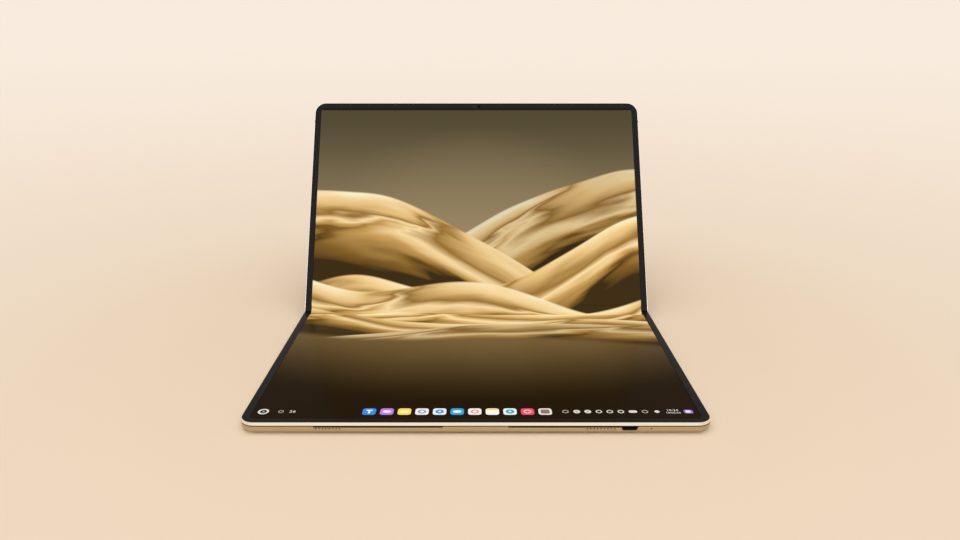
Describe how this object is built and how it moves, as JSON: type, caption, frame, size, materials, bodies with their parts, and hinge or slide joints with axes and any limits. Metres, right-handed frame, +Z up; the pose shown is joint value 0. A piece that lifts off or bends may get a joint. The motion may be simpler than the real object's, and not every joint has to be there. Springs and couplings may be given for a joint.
{
  "type": "foldable laptop",
  "caption": "Foldable laptop whose flexible display bends over a spine with curved hinge arms, with gold shells, black bezels and a kickstand in the lid's back.",
  "frame": {"origin": "middle of the open laptop's bounding box, on the table under its feet", "axes": "+X across the laptop to the right, +Y from the front edge to the fold and the lid, +Z up"},
  "size_m": [0.2856, 0.2894, 0.1684],
  "materials": {
    "gold_shell": "satin anodised gold",
    "gold_rim": "polished gold",
    "black_bezel": "soft black",
    "screen": "flexible display",
    "steel": "plain steel",
    "dark_steel": "dark coated metal",
    "board_green": "circuit board",
    "copper": "copper plate",
    "battery_black": "wrapped cell",
    "black_plastic": "moulded",
    "black_rubber": "rubber",
    "lens_glass": "dark glass",
    "break_plastic": "dark brown plastic",
    "ribbon_orange": "ribbon cable"
  },
  "bodies": {
    "base": {"base_cover": "gold_shell", "base_frame": "gold_rim", "base_bezel": "black_bezel", "base_display": "screen", "base_display_support": "steel", "front_grille_left": "gold_shell", "front_grille_right": "gold_shell", "charging_port": "steel", "microphone": "black_plastic", "mainboard": "board_green", "heat_spreader": "copper", "base_battery": "battery_black", "speaker_left": "black_plastic", "speaker_right": "black_plastic", "rubber_feet": "black_rubber", "base_magnets": "steel", "base_arm_screws": "steel", "base_arm_left": "steel", "base_arm_middle": "steel", "base_arm_right": "steel", "fan_housing_left": "black_plastic", "fan_housing_right": "black_plastic"},
    "spine": {"spine_cover": "gold_shell", "spine_cap_left": "gold_shell", "spine_cap_right": "gold_shell", "rail_block_left": "dark_steel", "rail_block_middle": "dark_steel", "rail_block_right": "dark_steel", "fold_display": "screen", "fold_ribbon": "ribbon_orange"},
    "lid": {"lid_cover": "gold_shell", "lid_frame": "gold_rim", "lid_bezel": "black_bezel", "lid_display": "screen", "lid_display_support": "steel", "lid_battery": "battery_black", "display_driver_board": "board_green", "camera": "lens_glass", "light_sensor": "lens_glass", "lid_magnets": "steel", "lid_arm_screws": "steel", "antenna_breaks": "break_plastic", "lid_arm_left": "steel", "lid_arm_middle": "steel", "lid_arm_right": "steel", "kickstand_pins": "steel"},
    "base_wing": {"base_wing_plate": "steel"},
    "lid_wing": {"lid_wing_plate": "steel"},
    "stand": {"kickstand": "gold_shell"},
    "fan_left": {"fan_wheel_left": "black_plastic"},
    "fan_right": {"fan_wheel_right": "black_plastic"},
    "power": {"power_button": "gold_shell"},
    "volume": {"volume_key": "gold_shell"}
  },
  "joints": [
    {"name": "base_fold", "type": "hinge", "parent": "base", "child": "spine", "pos_m": [0, 0.04197, 0.00665], "axis": [1, 0, 0], "range_deg": [-29.5, 60.5], "deforming": ["fold_display", "fold_ribbon"]},
    {"name": "lid_fold", "type": "hinge", "parent": "spine", "child": "lid", "pos_m": [0, 0.04458, 0.00813], "axis": [1, 0, 0], "range_deg": [-29.5, 60.5]},
    {"name": "base_wing_tilt", "type": "hinge", "parent": "base", "child": "base_wing", "pos_m": [0, 0.03147, 0.00665], "axis": [1, 0, 0], "range_deg": [-5.5, 2.7]},
    {"name": "lid_wing_tilt", "type": "hinge", "parent": "lid", "child": "lid_wing", "pos_m": [0, 0.04999, 0.01713], "axis": [1, 0, 0], "range_deg": [-2.7, 5.5]},
    {"name": "kickstand_hinge", "type": "hinge", "parent": "lid", "child": "stand", "pos_m": [-0.002, 0.10025, 0.09076], "axis": [0, 0.515, 0.8572], "range_deg": [0, 95]},
    {"name": "fan_left_spin", "type": "hinge", "parent": "base", "child": "fan_left", "pos_m": [-0.062, -0.09953, 0.0015], "axis": [0, 0, 1], "continuous": true},
    {"name": "fan_right_spin", "type": "hinge", "parent": "base", "child": "fan_right", "pos_m": [0.062, -0.09953, 0.0015], "axis": [0, 0, 1], "continuous": true},
    {"name": "power_press", "type": "slide", "parent": "base", "child": "power", "axis": [-1, 0, 0], "range_m": [0, 0.0003], "stiffness_N_per_m": 1500},
    {"name": "volume_press", "type": "slide", "parent": "base", "child": "volume", "axis": [1, 0, 0], "range_m": [0, 0.0003], "stiffness_N_per_m": 1500}
  ],
  "couplings": [
    {"joint": "lid_fold", "follows": "base_fold", "ratio": 1},
    {"joint": "base_wing_tilt", "follows": "base_fold", "ratio": -0.09},
    {"joint": "lid_wing_tilt", "follows": "base_fold", "ratio": 0.09}
  ]
}
